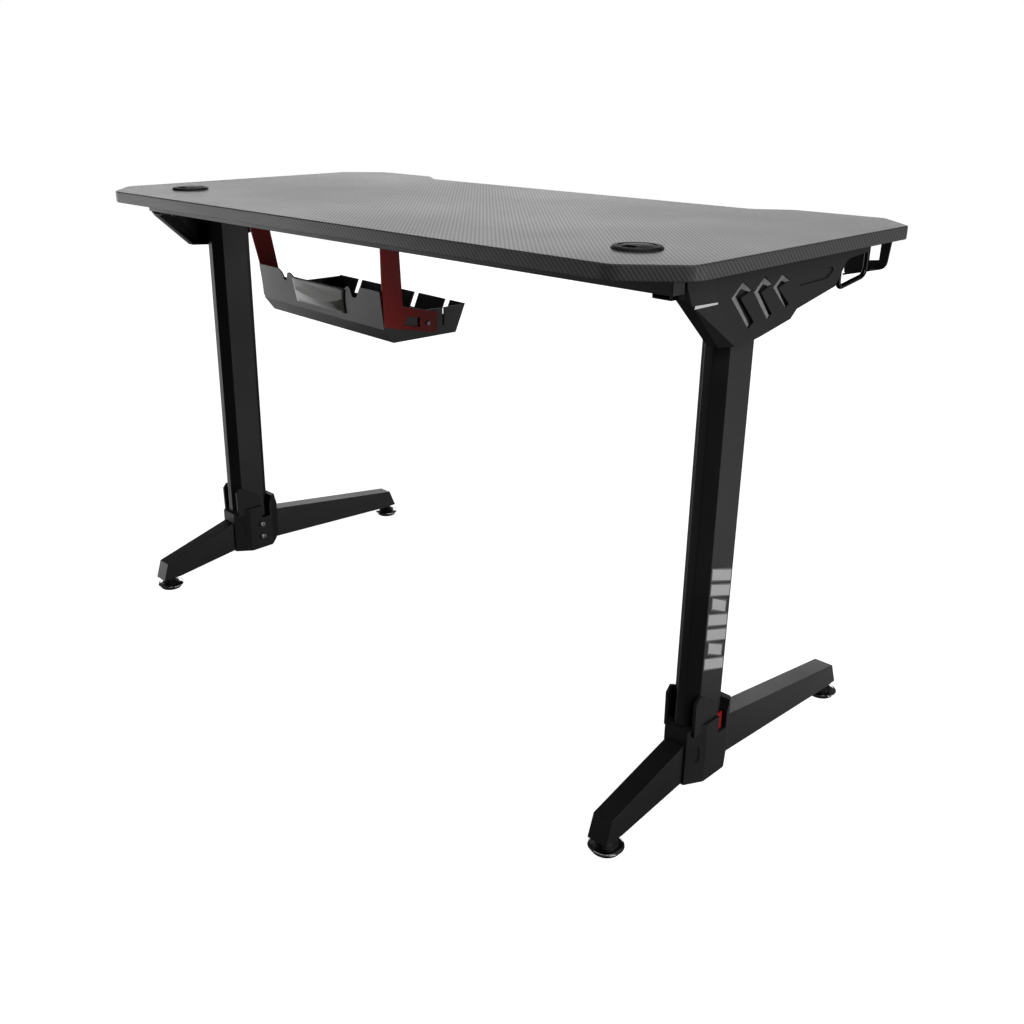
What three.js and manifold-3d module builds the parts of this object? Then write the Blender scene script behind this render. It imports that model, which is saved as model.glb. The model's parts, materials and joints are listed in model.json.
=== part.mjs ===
// A straight computer desk on two T-shaped legs: clipped-corner top, steel columns, hubs with
// splayed feet, side covers, cable tray, headset hook and cable grommets.
// Millimetres. +Z is up, +X runs along the desk's length, -Y is the side where the user sits.
// The origin is on the floor, below the middle of the whole footprint.

import * as THREE from 'three';
import { ConvexGeometry } from 'three/addons/geometries/ConvexGeometry.js';
import { mergeVertices } from 'three/addons/utils/BufferGeometryUtils.js';
import Module from 'manifold-3d';

const wasm = await Module();
wasm.setup();

// ---- driving dimensions -------------------------------------------------------------------

const LENGTH = 1200;
const DEPTH = 600;
const HEIGHT = 750;
const TOP_THICKNESS = 18;
const UNDERSIDE = HEIGHT - TOP_THICKNESS;
const GAP = 0.3; // between pieces that touch
const FRONT_OVERHANG = 8; // how far the front pads stand out past the top's front edge

const LEG_X = 542; // middle of each column
const LEG_Y = 78;

const BACK_CLIP = { x: 68, y: 61 };
const FRONT_CLIP = { x: 60, y: 58 };
const BELLY = { outerHalf: 398, innerHalf: 349, depth: 36 };

const GROMMET = { x: 480, y: 185, holeR: 25, flangeR: 30.5, boreR: 22.6, ledgeR: 20.5 };

const COLUMN = { halfX: 20, halfY: 40, cutX: 14, cutY: 15, wall: 2, bottom: 44 };
const ARM = { halfWidth: 13.5, height: 28, front: -150, back: 218.7, wall: 2.5 };
const BACK_RAIL = { x0: -572, x1: 528, y0: 219, y1: 241, height: 18, wall: 1.8 };
const FRONT_RAIL = { y0: -140, y1: -110, height: 18, wall: 1.8 };

const FOOT = { halfWidth: 15, wall: 2.5 };
const LEVELLER = {
  backY: 264, frontY: -284, discR: 24, baseR: 19.5, coneR: 16, stemR: 4, boreR: 4.4, stemTop: 36.5,
};

const COVER = { inner: 556, outer: 580, wall: 2.5, pocket: 1.6 };

// The tray hangs a little askew: its own u axis starts at one end and is turned from the desk's X.
const TRAY = { x: -82, y: 236, turn: -3.8, length: 323, sheet: 2, endTop: 618 };
const PANEL = { u0: 86, u1: 226, z0: 608.5, z1: 644.5, thickness: 1.5 };
const BRACKET = { thickness: 2.5, flange: 22, crank: 14 };

const HANGER = { y: -264, thickness: 3, shelf: 24 };
const ROD = { x: -551.5, radius: 3.5 };

// ---- materials ----------------------------------------------------------------------------

const material = (color, roughness, metalness) =>
  new THREE.MeshStandardMaterial({ color, roughness, metalness });

const laminate = material(0x4b4c4f, 0.45, 0.1);
const blackSteel = material(0x1b1b1d, 0.4, 0.6);
const blackPlastic = material(0x242427, 0.5, 0.0);
const meshPlastic = material(0x55565a, 0.55, 0.1);
const redPaint = material(0x7c1417, 0.42, 0.3);
const chrome = material(0xc8cacd, 0.15, 1.0);
const silverFoil = material(0xbfc1c4, 0.25, 0.9);
const zincSteel = material(0x8b8d90, 0.35, 0.9);
const smokedPlastic = material(0x37352f, 0.3, 0.0);

// ---- solid helpers ------------------------------------------------------------------------

function solidOf(geometry) {
  const bare = geometry.index ? geometry.toNonIndexed() : geometry.clone();
  for (const name of Object.keys(bare.attributes)) {
    if (name !== 'position') bare.deleteAttribute(name);
  }
  const merged = mergeVertices(bare, 1e-4);
  return new wasm.Manifold(new wasm.Mesh({
    numProp: 3,
    vertProperties: new Float32Array(merged.attributes.position.array),
    triVerts: new Uint32Array(merged.index.array),
  }));
}

function geometryOf(solid) {
  const mesh = solid.getMesh();
  const geometry = new THREE.BufferGeometry();
  geometry.setAttribute('position', new THREE.BufferAttribute(mesh.vertProperties, 3));
  geometry.setIndex(new THREE.BufferAttribute(mesh.triVerts, 1));
  return geometry;
}

const join = (first, ...rest) => rest.reduce((sum, solid) => sum.add(solid), first);
const cut = (first, ...rest) => rest.reduce((left, solid) => left.subtract(solid), first);

function outline(points) {
  return new THREE.Shape(points.map(([x, y]) => new THREE.Vector2(x, y)));
}

function extruded(shape, depth, basis, offset) {
  const geometry = new THREE.ExtrudeGeometry(shape, { depth, bevelEnabled: false, curveSegments: 6 });
  const [x, y, z] = basis.map((v) => new THREE.Vector3(...v));
  geometry.applyMatrix4(new THREE.Matrix4().makeBasis(x, y, z));
  geometry.translate(...offset);
  return solidOf(geometry);
}

// A flat outline given as [x, y] points or a Shape, standing from z0 to z1.
function prismZ(points, z0, z1) {
  const shape = Array.isArray(points) ? outline(points) : points;
  return extruded(shape, z1 - z0, [[1, 0, 0], [0, 1, 0], [0, 0, 1]], [0, 0, z0]);
}

// A [y, z] outline running from one x to another, in either order.
function prismX(points, xa, xb) {
  const shape = Array.isArray(points) ? outline(points) : points;
  return extruded(shape, Math.abs(xb - xa), [[0, 1, 0], [0, 0, 1], [1, 0, 0]], [Math.min(xa, xb), 0, 0]);
}

// An [x, z] outline running from y0 to y1.
function prismY(points, y0, y1) {
  const shape = Array.isArray(points) ? outline(points) : points;
  return extruded(shape, y1 - y0, [[1, 0, 0], [0, 0, 1], [0, -1, 0]], [0, y1, 0]);
}

function block(x0, x1, y0, y1, z0, z1) {
  return solidOf(new THREE.BoxGeometry(Math.abs(x1 - x0), y1 - y0, z1 - z0)
    .translate((x0 + x1) / 2, (y0 + y1) / 2, (z0 + z1) / 2));
}

// A turned piece: [radius, z] points, standing on (x, y).
function turned(profile, x, y, segments = 32) {
  const points = profile.map(([r, z]) => new THREE.Vector2(r, z));
  const geometry = new THREE.LatheGeometry(points, segments);
  geometry.rotateX(Math.PI / 2);
  geometry.translate(x, y, 0);
  return solidOf(geometry);
}

function cylinderX(radius, x0, x1, y, z, segments = 20) {
  return solidOf(new THREE.CylinderGeometry(radius, radius, Math.abs(x1 - x0), segments)
    .rotateZ(Math.PI / 2)
    .translate((x0 + x1) / 2, y, z));
}

function cylinderZ(radius, x, y, z0, z1, segments = 24) {
  return solidOf(new THREE.CylinderGeometry(radius, radius, z1 - z0, segments)
    .rotateX(Math.PI / 2)
    .translate(x, y, (z0 + z1) / 2));
}

const hull = (points) => solidOf(new ConvexGeometry(points.map((p) => new THREE.Vector3(...p))));

// ---- the desktop --------------------------------------------------------------------------

function roundedCorners(points, radii) {
  const shape = new THREE.Shape();
  const count = points.length;
  for (let i = 0; i < count; i += 1) {
    const here = new THREE.Vector2(...points[i]);
    const before = new THREE.Vector2(...points[(i + count - 1) % count]).sub(here);
    const after = new THREE.Vector2(...points[(i + 1) % count]).sub(here);
    const start = here.clone().add(before.setLength(radii[i]));
    const end = here.clone().add(after.setLength(radii[i]));
    if (i === 0) shape.moveTo(start.x, start.y);
    else shape.lineTo(start.x, start.y);
    shape.quadraticCurveTo(here.x, here.y, end.x, end.y);
  }
  shape.closePath();
  return shape;
}

function desktop() {
  const x = LENGTH / 2;
  const y = DEPTH / 2;
  const half = [
    [BELLY.innerHalf, -y + BELLY.depth], [BELLY.outerHalf, -y], [x - FRONT_CLIP.x, -y],
    [x, -y + FRONT_CLIP.y], [x, y - BACK_CLIP.y], [x - BACK_CLIP.x, y],
  ];
  const mirrored = half.map(([px, py]) => [-px, py]).reverse();
  const radii = [8, 8, 5, 5, 14, 14];
  const board = prismZ(roundedCorners([...half, ...mirrored], [...radii, ...radii.slice().reverse()]),
    UNDERSIDE, HEIGHT);
  const holes = [-1, 1].map((side) =>
    cylinderZ(GROMMET.holeR, side * GROMMET.x, GROMMET.y, UNDERSIDE - 5, HEIGHT + 5, 40));
  return cut(board, ...holes);
}

// ---- cable grommets -----------------------------------------------------------------------

const grommetRing = (side) => turned([
  [GROMMET.ledgeR, HEIGHT - 24], [GROMMET.holeR - 0.4, HEIGHT - 24],
  [GROMMET.holeR - 0.4, HEIGHT + GAP], [GROMMET.flangeR, HEIGHT + GAP],
  [GROMMET.flangeR, HEIGHT + 1.2], [GROMMET.flangeR - 2, HEIGHT + 3],
  [GROMMET.boreR + 0.8, HEIGHT + 3.4], [GROMMET.boreR, HEIGHT + 2.8],
  [GROMMET.boreR, HEIGHT - 2], [GROMMET.ledgeR, HEIGHT - 2], [GROMMET.ledgeR, HEIGHT - 24],
], side * GROMMET.x, GROMMET.y, 40);

function grommetCap(side) {
  const radius = GROMMET.boreR - GAP;
  const x = side * GROMMET.x;
  const dome = turned([
    [0, HEIGHT - 1.7], [radius, HEIGHT - 1.7], [radius, HEIGHT + 2.2],
    [radius - 3, HEIGHT + 3.2], [0, HEIGHT + 4],
  ], x, GROMMET.y, 40);
  const notch = block(x - 9, x + 9, GROMMET.y + 9, GROMMET.y + 30, HEIGHT - 5, HEIGHT + 10);
  return cut(dome, notch);
}

// ---- columns, arms and rails ---------------------------------------------------------------

function columnOutline(side, grow) {
  const { halfX, halfY, cutX, cutY } = COLUMN;
  const corner = [
    [halfX - cutX, halfY + grow], [halfX + grow, halfY - cutY],
    [halfX + grow, -(halfY - cutY)], [halfX - cutX, -(halfY + grow)],
  ];
  const other = corner.map(([x, y]) => [-x, y]).reverse();
  return [...corner, ...other].map(([x, y]) => [side * LEG_X + x, LEG_Y + y]);
}

const ARM_BOTTOM = UNDERSIDE - GAP - ARM.height;

function column(side) {
  const top = ARM_BOTTOM - GAP;
  const bore = prismZ(columnOutline(side, -COLUMN.wall), COLUMN.bottom - 5, top + 5);
  return cut(prismZ(columnOutline(side, 0), COLUMN.bottom, top), bore);
}

function boxTube(x0, x1, y0, y1, z0, z1, wall, along) {
  const outer = block(x0, x1, y0, y1, z0, z1);
  const inner = along === 'x'
    ? block(x0 - 5, x1 + 5, y0 + wall, y1 - wall, z0 + wall, z1 - wall)
    : block(x0 + wall, x1 - wall, y0 - 5, y1 + 5, z0 + wall, z1 - wall);
  return cut(outer, inner);
}

const arm = (side) => boxTube(side * LEG_X - ARM.halfWidth, side * LEG_X + ARM.halfWidth,
  ARM.front, ARM.back, ARM_BOTTOM, UNDERSIDE - GAP, ARM.wall, 'y');

// The back rail is closed by its own end wall at -X and open at +X.
function backRail() {
  const { x0, x1, y0, y1, height, wall } = BACK_RAIL;
  const top = UNDERSIDE - GAP;
  const bottom = top - height;
  return cut(
    block(x0, x1, y0, y1, bottom, top),
    block(x0 + wall, x1 + 5, y0 + wall, y1 - wall, bottom + wall, top - wall),
  );
}

function frontRail() {
  const end = LEG_X - ARM.halfWidth - GAP;
  return boxTube(-end, end, FRONT_RAIL.y0, FRONT_RAIL.y1,
    UNDERSIDE - GAP - FRONT_RAIL.height, UNDERSIDE - GAP, FRONT_RAIL.wall, 'x');
}

const armBolt = (side, y) => turned([
  [0, ARM_BOTTOM - GAP - 4], [4.5, ARM_BOTTOM - GAP - 4], [6.5, ARM_BOTTOM - GAP - 2.5],
  [6.5, ARM_BOTTOM - GAP], [0, ARM_BOTTOM - GAP],
], side * LEG_X, y, 16);

// ---- hubs -----------------------------------------------------------------------------------

const HUB = { side: 28, end: 18, back: 124, front: 22, bottom: 31, rim: 122, frontTop: 137 };
const HUB_SLOT = { y0: 46, y1: 64, z0: 96 };
const FLAP = {
  inner: 20.4,
  outer: 24.6,
  profile: [[65, 110], [65, 142], [100, 165], [110, 169], [118, 160], [117, 110]],
};
const LOCK = { inner: 20.7, outer: 23, y0: 50, y1: 63.5, top: 122 };

// An octagonal block round the foot of the column: its front wall stands taller than the rim, and a
// flap on each side lies against the column behind an open slot.
function hub(side) {
  const x = side * LEG_X;
  const plan = [
    [x + HUB.side, 42], [x + HUB.side, 92], [x + HUB.end, HUB.back], [x - HUB.end, HUB.back],
    [x - HUB.side, 92], [x - HUB.side, 42], [x - HUB.end, HUB.front], [x + HUB.end, HUB.front],
  ];
  const profile = [
    [HUB.front, 46], [32, 38], [44, HUB.bottom], [90, HUB.bottom], [HUB.back, 36],
    [HUB.back, 116], [112, HUB.rim], [46, HUB.rim], [40, HUB.frontTop], [30, HUB.frontTop],
    [HUB.front, 114],
  ];
  const body = prismZ(plan, HUB.bottom - 1, 150).intersect(prismX(profile, x - 40, x + 40));
  const flaps = [-1, 1].map((way) => prismX(FLAP.profile, x + way * FLAP.inner, x + way * FLAP.outer));
  const socket = prismZ(columnOutline(side, 0.4), COLUMN.bottom - GAP, 200);
  const slot = block(x - 40, x + 40, HUB_SLOT.y0, HUB_SLOT.y1, HUB_SLOT.z0, 200);
  const recesses = [-1, 1].map((way) => {
    const pocket = cylinderX(6, -1.4, 1.4, 0, 0, 24).scale([1, 1, 2.2]);
    const turn = way * 17.4;
    return pocket.rotate([0, 0, turn]).translate([x + way * 23.4, 107.4, 78]);
  });
  return cut(join(body, ...flaps), socket, slot, ...recesses);
}

function hubLock(side) {
  const x = side * LEG_X;
  return block(x + side * LOCK.inner, x + side * LOCK.outer, LOCK.y0, LOCK.y1, HUB_SLOT.z0 + GAP, LOCK.top);
}

function hubBolt(side, z) {
  const face = side * (LEG_X - HUB.side - GAP);
  const head = cylinderX(6.5, face, face - side * 4, 66, z, 20);
  const socket = cylinderX(3, face - side * 2, face - side * 9, 66, z, 6);
  return cut(head, socket);
}

// ---- feet -------------------------------------------------------------------------------------

// [y, z] corners from the hub outwards: top root, top tip, end of the tip, start of the flat that
// the leveller sits under, bottom root.
const FOOT_PROFILES = {
  back: [[HUB.back + GAP, 96.5], [274, 54], [284.5, 21.5], [250, 21.5], [HUB.back + GAP, 38]],
  front: [[HUB.front - GAP, 100], [-283, 57], [-298, 22.5], [-266, 22.5], [HUB.front - GAP, 39]],
};

function inset(points, distance) {
  const count = points.length;
  const middle = points.reduce(([a, b], [c, d]) => [a + c / count, b + d / count], [0, 0]);
  const edges = points.map((p, i) => {
    const q = points[(i + 1) % count];
    const run = Math.hypot(q[0] - p[0], q[1] - p[1]);
    let normal = [(p[1] - q[1]) / run, (q[0] - p[0]) / run];
    const facing = normal[0] * (middle[0] - p[0]) + normal[1] * (middle[1] - p[1]);
    if (facing < 0) normal = normal.map((v) => -v);
    return { normal, offset: normal[0] * p[0] + normal[1] * p[1] + distance };
  });
  return edges.map((b, i) => {
    const a = edges[(i + count - 1) % count];
    const det = a.normal[0] * b.normal[1] - a.normal[1] * b.normal[0];
    return [
      (a.offset * b.normal[1] - b.offset * a.normal[1]) / det,
      (a.normal[0] * b.offset - b.normal[0] * a.offset) / det,
    ];
  });
}

const levellerY = (end) => (end === 'back' ? LEVELLER.backY : LEVELLER.frontY);

function foot(side, end) {
  const x = side * LEG_X;
  const profile = FOOT_PROFILES[end];
  const outer = prismX(profile, x - FOOT.halfWidth, x + FOOT.halfWidth);
  const room = inset(profile, FOOT.wall);
  const reach = end === 'back' ? -10 : 10;
  room[0][0] += reach;
  room[room.length - 1][0] += reach;
  const bore = prismX(room, x - FOOT.halfWidth + FOOT.wall, x + FOOT.halfWidth - FOOT.wall);
  const hole = cylinderZ(LEVELLER.boreR + 1, x, levellerY(end), 0, 40, 20);
  return cut(outer, bore, hole);
}

// A rubber base under a plated disc.
const levellerPad = (side, end) => turned([
  [0, 0], [LEVELLER.baseR, 0], [LEVELLER.baseR, 5.8], [LEVELLER.discR - 0.8, 5.8],
  [LEVELLER.discR, 6.6], [LEVELLER.discR, 8.1], [LEVELLER.discR - 1.6, 9],
  [LEVELLER.coneR + 0.6, 9.6], [0, 9.6],
], side * LEG_X, levellerY(end), 40);

const levellerStem = (side, end) => turned([
  [0, 9.9], [LEVELLER.coneR, 9.9], [LEVELLER.coneR - 0.8, 11.2], [10.5, 14.2], [7.5, 18.4], [6.4, 19.4],
  [LEVELLER.stemR, 19.4], [LEVELLER.stemR, LEVELLER.stemTop], [0, LEVELLER.stemTop],
], side * LEG_X, levellerY(end), 24);

// The nut is held inside the foot, on its bottom wall.
function levellerNut(side, end) {
  const y = levellerY(end);
  const bottom = FOOT_PROFILES[end][2][1] + FOOT.wall + GAP;
  const nut = cylinderZ(6.5, side * LEG_X, y, bottom, bottom + 6.5, 6);
  return cut(nut, cylinderZ(LEVELLER.boreR, side * LEG_X, y, bottom - 5, bottom + 15, 20));
}

// ---- side covers --------------------------------------------------------------------------------

const COVER_PROFILE = [
  [216, UNDERSIDE - GAP], [214, 706], [145, 643.5], [108, 641], [67, 647], [5, 658], [-8, 668.5],
  [-98, 685], [-121, 713.5], [-128, 717], [-177, 720.3], [-189, UNDERSIDE - GAP],
];

// The flat outer face turns inwards towards the back edge in two facets.
function coverEnvelope(side, inset) {
  const out = COVER.outer - inset;
  const top = UNDERSIDE;
  return hull([
    [500, -260, top], [500, -260, 600], [500, 260 - inset, top], [500, 260 - inset, 600],
    [out, -260, top], [out, -260, 637],
    [out, 184 - inset, top], [out, 166 - inset, 700], [out, 115 - inset, 637],
    [out - 9, 219 - inset, top], [out - 6, 207 - inset, 700], [out - 13, 138 - inset, 637],
  ].map(([a, y, z]) => [side * a, y, z]));
}

// Claw-shaped windows, largest at the back: [y, z] of the tips and elbows.
const CLAWS = [
  [[118.5, 716], [139.5, 700], [99.5, 660], [88, 666], [121, 698], [97, 704]],
  [[72.5, 717], [93.5, 701], [59, 665], [50, 670.5], [78, 699], [55, 706]],
  [[34, 715], [53, 702], [19.5, 673], [12.5, 677], [40, 700], [15, 706]],
];
const POCKET = [[-2, 709], [-10, 696], [-76, 698], [-89, 706], [-86, 710.5], [-75, 712]];

// A thin wedge across the rear facet, tallest at the back edge. It is let into the cover, whose
// recess is the same wedge grown by the gap.
const ACCENT = {
  backInset: 4.5, frontInset: 0.75,
  backTop: 699.3, backBottom: 695.6, frontTop: 699.4, frontBottom: 697.2, depth: 1.2,
};

function accentStrip(side, grow) {
  const { backInset, frontInset, backTop, backBottom, frontTop, frontBottom, depth } = ACCENT;
  const from = new THREE.Vector2(side * (COVER.outer - 6), 207);
  const to = new THREE.Vector2(side * COVER.outer, 166);
  const along = to.clone().sub(from).normalize();
  const out = new THREE.Vector2(along.y, -along.x).multiplyScalar(-side);
  const ends = [
    [from.clone().addScaledVector(along, backInset - grow), backTop, backBottom],
    [to.clone().addScaledVector(along, grow - frontInset), frontTop, frontBottom],
  ];
  const corners = ends.flatMap(([end, top, bottom]) => [-1, 1].flatMap((way) => {
    const { x, y } = end.clone().addScaledVector(out, way * (depth / 2 + grow));
    return [[x, y, top + grow], [x, y, bottom - grow]];
  }));
  return hull(corners);
}

function sideCover(side) {
  const shell = prismX(COVER_PROFILE, side * COVER.inner, side * (COVER.outer + 5))
    .intersect(coverEnvelope(side, 0));
  const hollowProfile = inset(COVER_PROFILE, COVER.wall);
  hollowProfile[0] = [hollowProfile[0][0], UNDERSIDE + 5];
  hollowProfile[hollowProfile.length - 1] = [-182, UNDERSIDE + 5];
  const hollow = prismX(hollowProfile, side * (COVER.inner - 5), side * (COVER.outer + 5))
    .intersect(coverEnvelope(side, COVER.wall).add(block(side * 400, side * 570, -230, 200, 640, 760)));
  const windows = CLAWS.map((claw) => prismX(claw, side * (COVER.outer - 8), side * (COVER.outer + 8)));
  const pocket = prismX(POCKET, side * (COVER.outer - COVER.pocket), side * (COVER.outer + 8));
  const leg = prismZ(columnOutline(side, 0.5), 500, 720);
  return cut(shell, hollow, ...windows, pocket, leg, accentStrip(side, GAP));
}

function clawMesh(side) {
  const outer = COVER.outer - COVER.wall - GAP;
  return block(side * (outer - 2.2), side * outer, 8, 146, 657.5, 722)
    .intersect(prismX(inset(COVER_PROFILE, COVER.wall + 0.5), side * 500, side * 600))
    .intersect(coverEnvelope(side, COVER.wall + GAP));
}

// ---- cable tray, in its own frame: u along the tray, v across it, z up --------------------------

// Cross-section of the bent sheet, [v, z] along its outside from the back wall to the front wall.
const TRAY_SKIN = [[0, 653.3], [-7, 599], [-23, 578.5], [-137, 578.5], [-155, 619]];

// What is cut out of the top of the back wall, [u, z]: two notches with the panel's bay between.
const BACK_WALL_CUT = [
  [46, 660], [47, 653.3], [60, 636], [69, 636], [73.5, 648], [76, 650], [82, 649.5], [88, 645],
  [225, 645], [230, 648.5], [236, 650.3], [240.5, 649], [246, 637], [252.5, 637], [254, 643],
  [258, 648.5], [264, 652], [270, 653.6], [270, 660],
];
const FRONT_SLOTS = { first: 39, pitch: 75.3, count: 4, width: 12, bottom: 598 };
const END_SLIT = { v: -112, width: 3, bottom: 591 };

// The last point moved on along the line from the one before it.
function reachOn([y0, z0], [y1, z1], distance) {
  const run = Math.hypot(y1 - y0, z1 - z0);
  return [y1 + ((y1 - y0) / run) * distance, z1 + ((z1 - z0) / run) * distance];
}

function cableTray() {
  const room = inset(TRAY_SKIN, TRAY.sheet);
  const last = room.length - 1;
  room[0] = reachOn(room[1], room[0], 20);
  room[last] = reachOn(room[last - 1], room[last], 20);
  const whole = prismX(TRAY_SKIN, 0, TRAY.length);
  const trough = cut(whole, prismX(room, TRAY.sheet, TRAY.length - TRAY.sheet));
  const aboveEnds = [[0, TRAY.sheet], [TRAY.length - TRAY.sheet, TRAY.length]].map(([u0, u1]) =>
    prismX(room, u0 - 1, u1 + 1).intersect(block(u0 - 1, u1 + 1, -200, 20, TRAY.endTop, 700)));
  const backCut = prismY(BACK_WALL_CUT, -20, 10);
  const frontSlots = Array.from({ length: FRONT_SLOTS.count }, (_, i) => {
    const u = FRONT_SLOTS.first + i * FRONT_SLOTS.pitch;
    return block(u - FRONT_SLOTS.width / 2, u + FRONT_SLOTS.width / 2, -175, -130, FRONT_SLOTS.bottom, 640);
  });
  const slit = block(-5, 5, END_SLIT.v - END_SLIT.width, END_SLIT.v, END_SLIT.bottom, 640);
  return cut(trough, ...aboveEnds, backCut, ...frontSlots, slit);
}

// A flat panel on the outside of the back wall, which leans inwards towards the floor.
function trayPanel() {
  const lean = (TRAY_SKIN[0][0] - TRAY_SKIN[1][0]) / (TRAY_SKIN[0][1] - TRAY_SKIN[1][1]);
  const wallV = (z) => TRAY_SKIN[0][0] - lean * (TRAY_SKIN[0][1] - z) + 2 * GAP;
  return prismX([
    [wallV(PANEL.z1), PANEL.z1], [wallV(PANEL.z0), PANEL.z0],
    [wallV(PANEL.z0) + PANEL.thickness, PANEL.z0], [wallV(PANEL.z1) + PANEL.thickness, PANEL.z1],
  ], PANEL.u0, PANEL.u1);
}

const BRACKET_SCREW = { v: -82.5, z: 599.6 };

// An L-shaped strap at one end. It passes in front of the back rail, up to the board; the one at the
// far end is cranked back so that it still reaches the rail.
function trayBracket(u, way) {
  const crank = u > 0 ? BRACKET.crank : 0;
  const turn = THREE.MathUtils.degToRad(TRAY.turn);
  const railV = (BACK_RAIL.y0 - 1 - TRAY.y - u * Math.sin(turn)) / Math.cos(turn);
  const top = UNDERSIDE - GAP;
  const railBottom = top - BACK_RAIL.height - GAP;
  const plate = prismX([
    [-2 + crank, railBottom], [railV, railBottom], [railV, top], [-32 + crank, top], [-38, 629],
    [-101, 613.4], [-98.3, 583.2], [-7, 603], [-3, 650],
  ], u, u + way * BRACKET.thickness);
  const flange = block(u, u - way * BRACKET.flange, -32 + crank, railV - 2, top - BRACKET.thickness, top);
  const window = prismX([[-47, 613.2], [-68, 609.3], [-68, 595.9], [-39.4, 602.4]], u - 10, u + 10);
  const hole = cylinderX(3.2, u - 10, u + 10, BRACKET_SCREW.v, BRACKET_SCREW.z, 16);
  return cut(join(plate, flange), window, hole);
}

const trayScrew = (u, way) =>
  cylinderX(4.6, u + way * GAP, u + way * 2.8, BRACKET_SCREW.v, BRACKET_SCREW.z, 16);

// ---- hooks under the left end ---------------------------------------------------------------------

// A flat loop with one slim leg and one wide one, and a sloping shelf bent out of its lower edge.
function strapHanger() {
  const { y, thickness, shelf } = HANGER;
  const top = UNDERSIDE - GAP;
  const outer = roundedCorners([[-571, top], [-567, 687], [-507, 672], [-504, top]], [0.1, 10, 8, 0.1]);
  const gap = [[-557, top + 5], [-556, 698], [-541, 696], [-541, top + 5]];
  const plate = cut(prismY(outer, y, y + thickness), prismY(gap, y - 5, y + 9));
  const lip = prismY([[-554, 684.6], [-516, 675], [-516, 677.6], [-554, 687.2]], y, y + shelf);
  const tabs = [[-571, -557], [-541, -504]].map(([x0, x1]) =>
    block(x0, x1, y - 16, y + thickness, top - thickness, top));
  return join(plate, lip, ...tabs);
}

function rodHook() {
  const top = UNDERSIDE - GAP;
  const corners = [[-232, top], [-232, 680.5], [-160, 671], [-160, top]];
  const radius = 12;
  const path = new THREE.CurvePath();
  let start = new THREE.Vector3(ROD.x, ...corners[0]);
  for (let i = 1; i < corners.length - 1; i += 1) {
    const bend = new THREE.Vector3(ROD.x, ...corners[i]);
    const before = new THREE.Vector3(ROD.x, ...corners[i - 1]).sub(bend).setLength(radius).add(bend);
    const after = new THREE.Vector3(ROD.x, ...corners[i + 1]).sub(bend).setLength(radius).add(bend);
    path.add(new THREE.LineCurve3(start, before));
    path.add(new THREE.QuadraticBezierCurve3(before, bend, after));
    start = after;
  }
  path.add(new THREE.LineCurve3(start, new THREE.Vector3(ROD.x, ...corners[corners.length - 1])));
  const section = new THREE.Shape();
  section.absarc(0, 0, ROD.radius, 0, Math.PI * 2);
  const rod = solidOf(new THREE.ExtrudeGeometry(section, {
    steps: 60, curveSegments: 6, bevelEnabled: false, extrudePath: path,
  }));
  const feet = [-1, 1].map((way) => {
    const y = way < 0 ? -232 : -160;
    return block(ROD.x - 6, ROD.x + 4, y + (way < 0 ? -18 : -3), y + (way < 0 ? 3 : 7), top - 3, top);
  });
  return join(rod, ...feet);
}

// ---- the assembly -----------------------------------------------------------------------------------

const desk = new THREE.Group();
desk.position.y = FRONT_OVERHANG / 2;

function place(name, solid, look, parent = desk) {
  const mesh = new THREE.Mesh(geometryOf(solid), look);
  mesh.name = name;
  parent.add(mesh);
}

place('desktop', desktop(), laminate);
place('back_rail', backRail(), blackSteel);
place('front_rail', frontRail(), blackSteel);

// Left and right are the seated user's: left is the -X end.
for (const [label, side] of [['left', -1], ['right', 1]]) {
  place(`grommet_ring_${label}`, grommetRing(side), blackPlastic);
  place(`grommet_cap_${label}`, grommetCap(side), blackPlastic);
  place(`arm_${label}`, arm(side), blackSteel);
  place(`arm_bolt_front_${label}`, armBolt(side, -90), zincSteel);
  place(`arm_bolt_back_${label}`, armBolt(side, 185), zincSteel);
  place(`column_${label}`, column(side), blackSteel);
  place(`hub_${label}`, hub(side), blackPlastic);
  place(`hub_lock_${label}`, hubLock(side), redPaint);
  place(`hub_bolt_upper_${label}`, hubBolt(side, 82), zincSteel);
  place(`hub_bolt_lower_${label}`, hubBolt(side, 56), zincSteel);
  for (const end of ['back', 'front']) {
    place(`foot_${end}_${label}`, foot(side, end), blackSteel);
    place(`leveller_pad_${end}_${label}`, levellerPad(side, end), chrome);
    place(`leveller_stem_${end}_${label}`, levellerStem(side, end), blackSteel);
    place(`leveller_nut_${end}_${label}`, levellerNut(side, end), zincSteel);
  }
  place(`side_cover_${label}`, sideCover(side), blackPlastic);
  place(`claw_mesh_${label}`, clawMesh(side), meshPlastic);
  place(`accent_strip_${label}`, accentStrip(side, 0), silverFoil);
}

const hungTray = new THREE.Group();
hungTray.position.set(TRAY.x, TRAY.y, 0);
hungTray.rotation.z = THREE.MathUtils.degToRad(TRAY.turn);
desk.add(hungTray);
place('cable_tray', cableTray(), blackSteel, hungTray);
place('tray_panel', trayPanel(), smokedPlastic, hungTray);
for (const [label, u, way] of [['left', -GAP, -1], ['right', TRAY.length + GAP, 1]]) {
  place(`tray_bracket_${label}`, trayBracket(u, way), redPaint, hungTray);
  place(`tray_screw_${label}`, trayScrew(u + way * BRACKET.thickness, way), zincSteel, hungTray);
}
place('strap_hanger', strapHanger(), blackSteel);
place('headset_hook', rodHook(), chrome);

export default desk;
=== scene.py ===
import json
import math

import bmesh
import bpy
from mathutils import Matrix, Vector


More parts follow.
